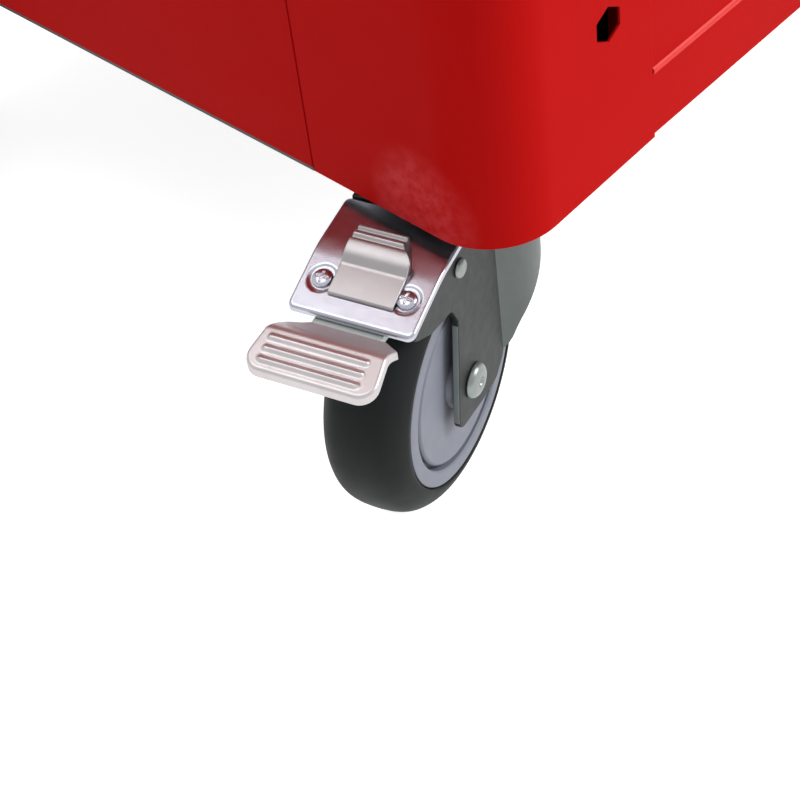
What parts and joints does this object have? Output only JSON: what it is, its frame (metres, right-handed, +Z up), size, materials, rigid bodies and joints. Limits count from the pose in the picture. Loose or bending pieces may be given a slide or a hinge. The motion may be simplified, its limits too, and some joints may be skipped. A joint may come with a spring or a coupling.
{
  "type": "tool cart",
  "caption": "Sheet steel roller tool cabinet with drawers behind a recessed front, side push handle, tray worktop, fixed casters and swivel casters with pedal brakes.",
  "frame": {"origin": "on the floor, under the middle of the cart's bounding box", "axes": "+Z up; the drawers face -Y; the push handle is at -X"},
  "size_m": [0.794, 0.499, 0.9378],
  "materials": {
    "red_enamel": "glossy red powder coat",
    "black_enamel": "satin black powder coat",
    "black_plastic": "grained black",
    "mat_rubber": "matt ribbed sheet",
    "aluminium": "anodised",
    "galvanised_steel": "galvanised",
    "fork_zinc": "dull zinc plate",
    "bright_zinc": "bright zinc plate",
    "tyre_rubber": "dark grey rubber",
    "hub_plastic": "grey moulded"
  },
  "bodies": {
    "cabinet": {"front_frame": "red_enamel", "rear_shell": "red_enamel", "side_panel_left": "red_enamel", "side_panel_right": "red_enamel", "top_panel": "red_enamel", "base_frame": "black_enamel", "worktop": "black_plastic", "worktop_mat": "mat_rubber", "push_handle": "black_enamel", "handle_socket_front": "black_plastic", "handle_socket_rear": "black_plastic", "runner_left": "galvanised_steel", "runner_right": "galvanised_steel", "caster_front_left_mount_plate": "galvanised_steel", "caster_front_left_kingpin": "fork_zinc", "caster_rear_left_mount_plate": "galvanised_steel", "caster_rear_left_kingpin": "fork_zinc", "caster_front_right_fork": "fork_zinc", "caster_front_right_axle_bolt": "fork_zinc", "caster_rear_right_fork": "fork_zinc", "caster_rear_right_axle_bolt": "fork_zinc"},
    "drawer_1": {"drawer_1": "red_enamel", "drawer_1_grip": "aluminium"},
    "drawer_2": {"drawer_2": "red_enamel", "drawer_2_grip": "aluminium"},
    "drawer_3": {"drawer_3": "red_enamel", "drawer_3_grip": "aluminium"},
    "drawer_4": {"drawer_4": "red_enamel", "drawer_4_grip": "aluminium"},
    "drawer_5": {"drawer_5": "red_enamel", "drawer_5_grip": "aluminium"},
    "drawer_6": {"drawer_6": "red_enamel", "drawer_6_grip": "aluminium"},
    "lock": {"lock_cylinder": "bright_zinc"},
    "lock_bar": {"lock_bar": "galvanised_steel"},
    "swivel_front": {"caster_front_left_fork": "fork_zinc", "caster_front_left_brake_bridge": "bright_zinc", "caster_front_left_rivet_near": "bright_zinc", "caster_front_left_rivet_far": "bright_zinc", "caster_front_left_brake_pin": "fork_zinc", "caster_front_left_axle_bolt": "fork_zinc"},
    "swivel_rear": {"caster_rear_left_fork": "fork_zinc", "caster_rear_left_brake_bridge": "bright_zinc", "caster_rear_left_rivet_near": "bright_zinc", "caster_rear_left_rivet_far": "bright_zinc", "caster_rear_left_brake_pin": "fork_zinc", "caster_rear_left_axle_bolt": "fork_zinc"},
    "pedal_front": {"caster_front_left_brake_pedal": "bright_zinc"},
    "pedal_rear": {"caster_rear_left_brake_pedal": "bright_zinc"},
    "release_front": {"caster_front_left_release_lever": "bright_zinc"},
    "release_rear": {"caster_rear_left_release_lever": "bright_zinc"},
    "wheel_front_left": {"caster_front_left_tyre": "tyre_rubber", "caster_front_left_core": "hub_plastic"},
    "wheel_rear_left": {"caster_rear_left_tyre": "tyre_rubber", "caster_rear_left_core": "hub_plastic"},
    "wheel_front_right": {"caster_front_right_tyre": "tyre_rubber", "caster_front_right_core": "hub_plastic"},
    "wheel_rear_right": {"caster_rear_right_tyre": "tyre_rubber", "caster_rear_right_core": "hub_plastic"}
  },
  "joints": [
    {"name": "drawer_1_slide", "type": "slide", "parent": "cabinet", "child": "drawer_1", "axis": [0, -1, 0], "range_m": [0, 0.3]},
    {"name": "drawer_2_slide", "type": "slide", "parent": "cabinet", "child": "drawer_2", "axis": [0, -1, 0], "range_m": [0, 0.3]},
    {"name": "drawer_3_slide", "type": "slide", "parent": "cabinet", "child": "drawer_3", "axis": [0, -1, 0], "range_m": [0, 0.3]},
    {"name": "drawer_4_slide", "type": "slide", "parent": "cabinet", "child": "drawer_4", "axis": [0, -1, 0], "range_m": [0, 0.3]},
    {"name": "drawer_5_slide", "type": "slide", "parent": "cabinet", "child": "drawer_5", "axis": [0, -1, 0], "range_m": [0, 0.3]},
    {"name": "drawer_6_slide", "type": "slide", "parent": "cabinet", "child": "drawer_6", "axis": [0, -1, 0], "range_m": [0, 0.3]},
    {"name": "lock_turn", "type": "hinge", "parent": "cabinet", "child": "lock", "pos_m": [0.268, -0.2395, 0.8825], "axis": [0, -1, 0], "range_deg": [0, 90]},
    {"name": "lock_bar_lift", "type": "slide", "parent": "cabinet", "child": "lock_bar", "axis": [0, 0, 1], "range_m": [0, 0.008]},
    {"name": "swivel_front_turn", "type": "hinge", "parent": "cabinet", "child": "swivel_front", "pos_m": [-0.249, -0.1744, 0.15], "axis": [0, 0, 1], "continuous": true},
    {"name": "swivel_rear_turn", "type": "hinge", "parent": "cabinet", "child": "swivel_rear", "pos_m": [-0.249, 0.1804, 0.15], "axis": [0, 0, 1], "continuous": true},
    {"name": "wheel_front_left_spin", "type": "hinge", "parent": "swivel_front", "child": "wheel_front_left", "pos_m": [-0.29657, -0.18808, 0.0625], "axis": [0.2764, -0.9611, 0], "continuous": true},
    {"name": "wheel_rear_left_spin", "type": "hinge", "parent": "swivel_rear", "child": "wheel_rear_left", "pos_m": [-0.29657, 0.16672, 0.0625], "axis": [0.2764, -0.9611, 0], "continuous": true},
    {"name": "wheel_front_right_spin", "type": "hinge", "parent": "cabinet", "child": "wheel_front_right", "pos_m": [0.327, -0.1744, 0.0625], "axis": [0, -1, 0], "continuous": true},
    {"name": "wheel_rear_right_spin", "type": "hinge", "parent": "cabinet", "child": "wheel_rear_right", "pos_m": [0.327, 0.1804, 0.0625], "axis": [0, -1, 0], "continuous": true},
    {"name": "pedal_front_press", "type": "hinge", "parent": "swivel_front", "child": "pedal_front", "pos_m": [-0.30138, -0.18946, 0.1305], "axis": [0.2764, -0.9611, 0], "range_deg": [0, 10]},
    {"name": "pedal_rear_press", "type": "hinge", "parent": "swivel_rear", "child": "pedal_rear", "pos_m": [-0.30138, 0.16534, 0.1305], "axis": [0.2764, -0.9611, 0], "range_deg": [0, 10]},
    {"name": "release_front_lift", "type": "hinge", "parent": "swivel_front", "child": "release_front", "pos_m": [-0.33357, -0.19872, 0.134], "axis": [0.2764, -0.9611, 0], "range_deg": [0, 6]},
    {"name": "release_rear_lift", "type": "hinge", "parent": "swivel_rear", "child": "release_rear", "pos_m": [-0.33357, 0.15608, 0.134], "axis": [0.2764, -0.9611, 0], "range_deg": [0, 6]}
  ],
  "couplings": [
    {"joint": "lock_turn", "follows": "lock_bar_lift", "rad_per_m": 196},
    {"joint": "release_front_lift", "follows": "pedal_front_press", "ratio": 0.58},
    {"joint": "release_rear_lift", "follows": "pedal_rear_press", "ratio": 0.58}
  ]
}
